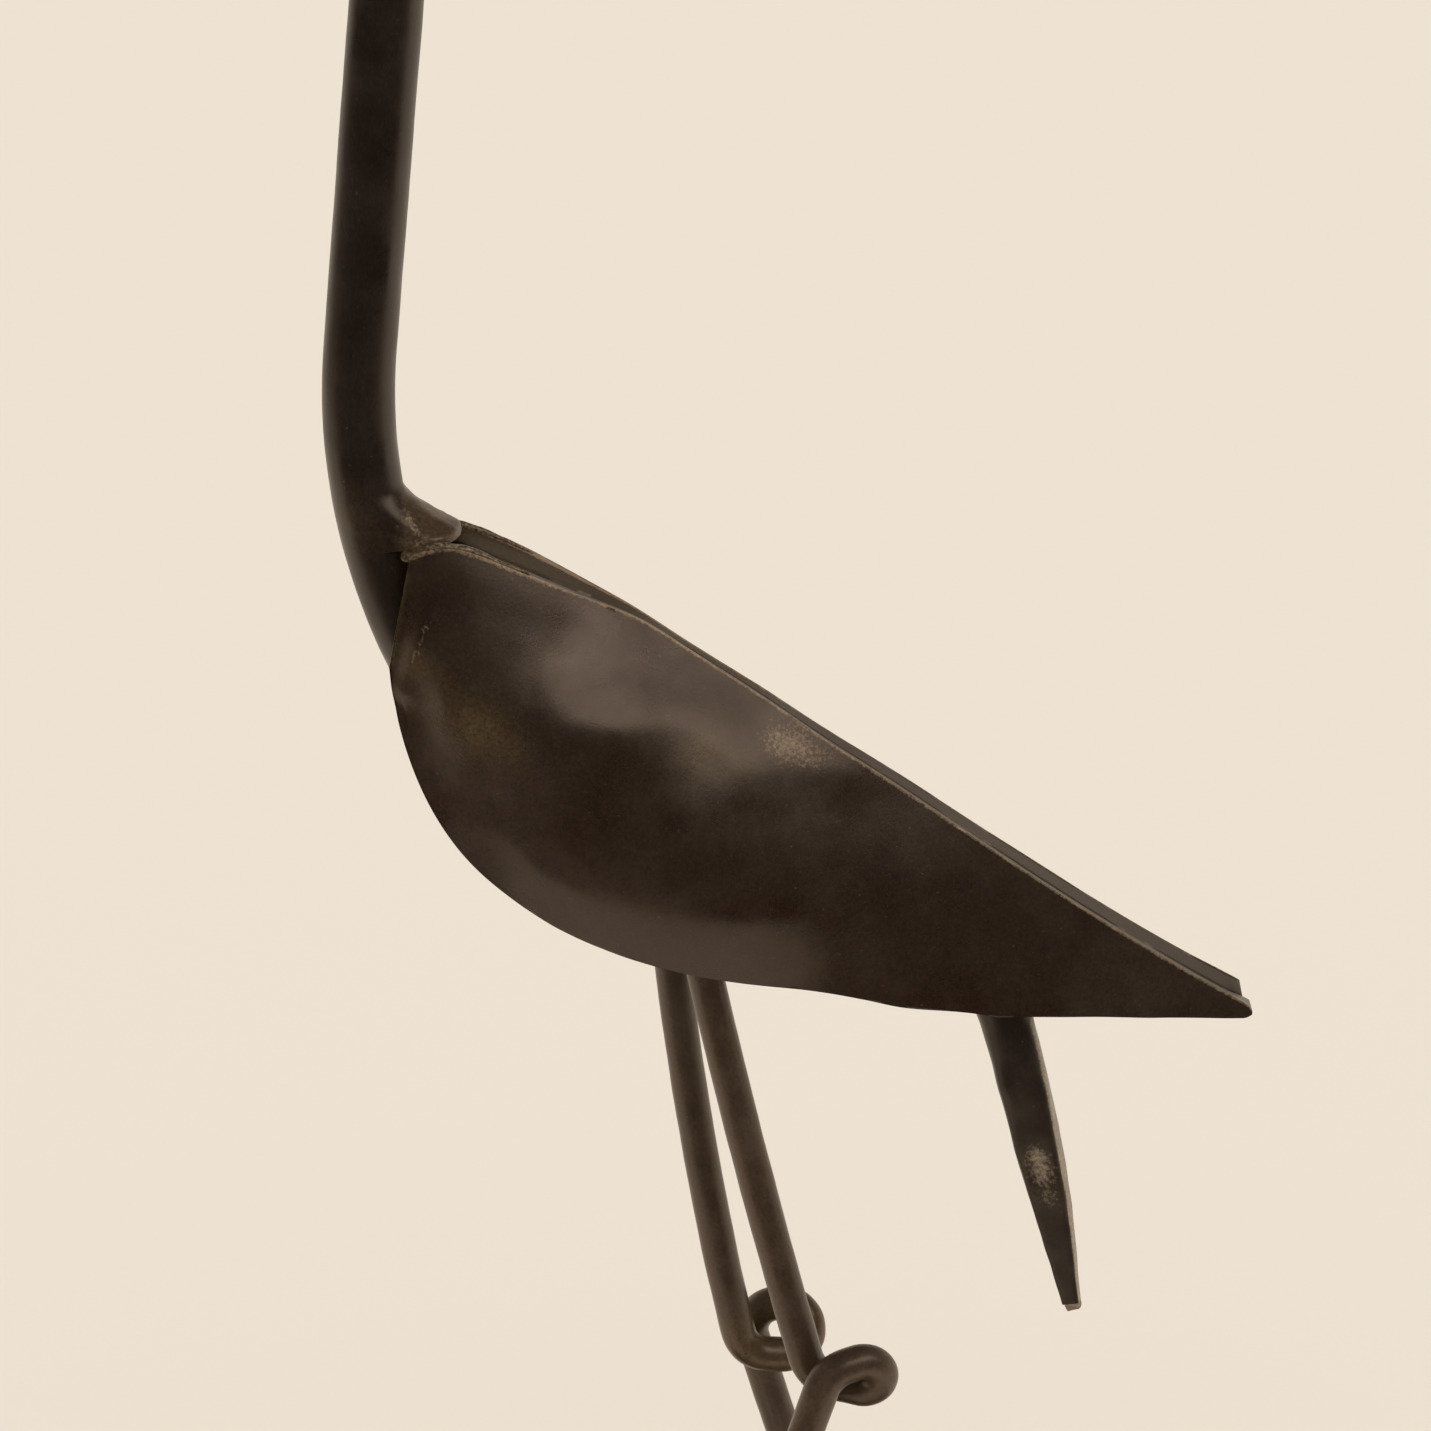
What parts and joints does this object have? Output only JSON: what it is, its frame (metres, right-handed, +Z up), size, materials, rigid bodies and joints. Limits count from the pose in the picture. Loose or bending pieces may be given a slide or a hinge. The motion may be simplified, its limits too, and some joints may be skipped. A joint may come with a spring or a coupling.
{
  "type": "wrought iron wading bird sculpture",
  "caption": "Striding long-necked wading bird forged from iron bar, rod and dished sheet, with looped knees, on a low flat base.",
  "frame": {"origin": "centre of the base plate's underside", "axes": "+Z up, -X the way the bird faces, -Y its left side"},
  "size_m": [0.2278, 0.08, 0.3898],
  "materials": {
    "dark_bar": "near-black brown patina, satin",
    "body_sheet": "dark grey-brown patina, waxed satin, worn edges",
    "leg_rod": "warm brown patina, satin",
    "foot_iron": "dark brown patina, forged",
    "base_iron": "black-brown mill scale, satin"
  },
  "bodies": {
    "root": {"neck_and_tail_bar": "dark_bar", "left_wing_shell": "body_sheet", "right_wing_shell": "body_sheet", "left_leg": "leg_rod", "right_leg": "leg_rod", "left_foot": "foot_iron", "right_foot": "foot_iron", "base_plate": "base_iron"}
  },
  "joints": []
}
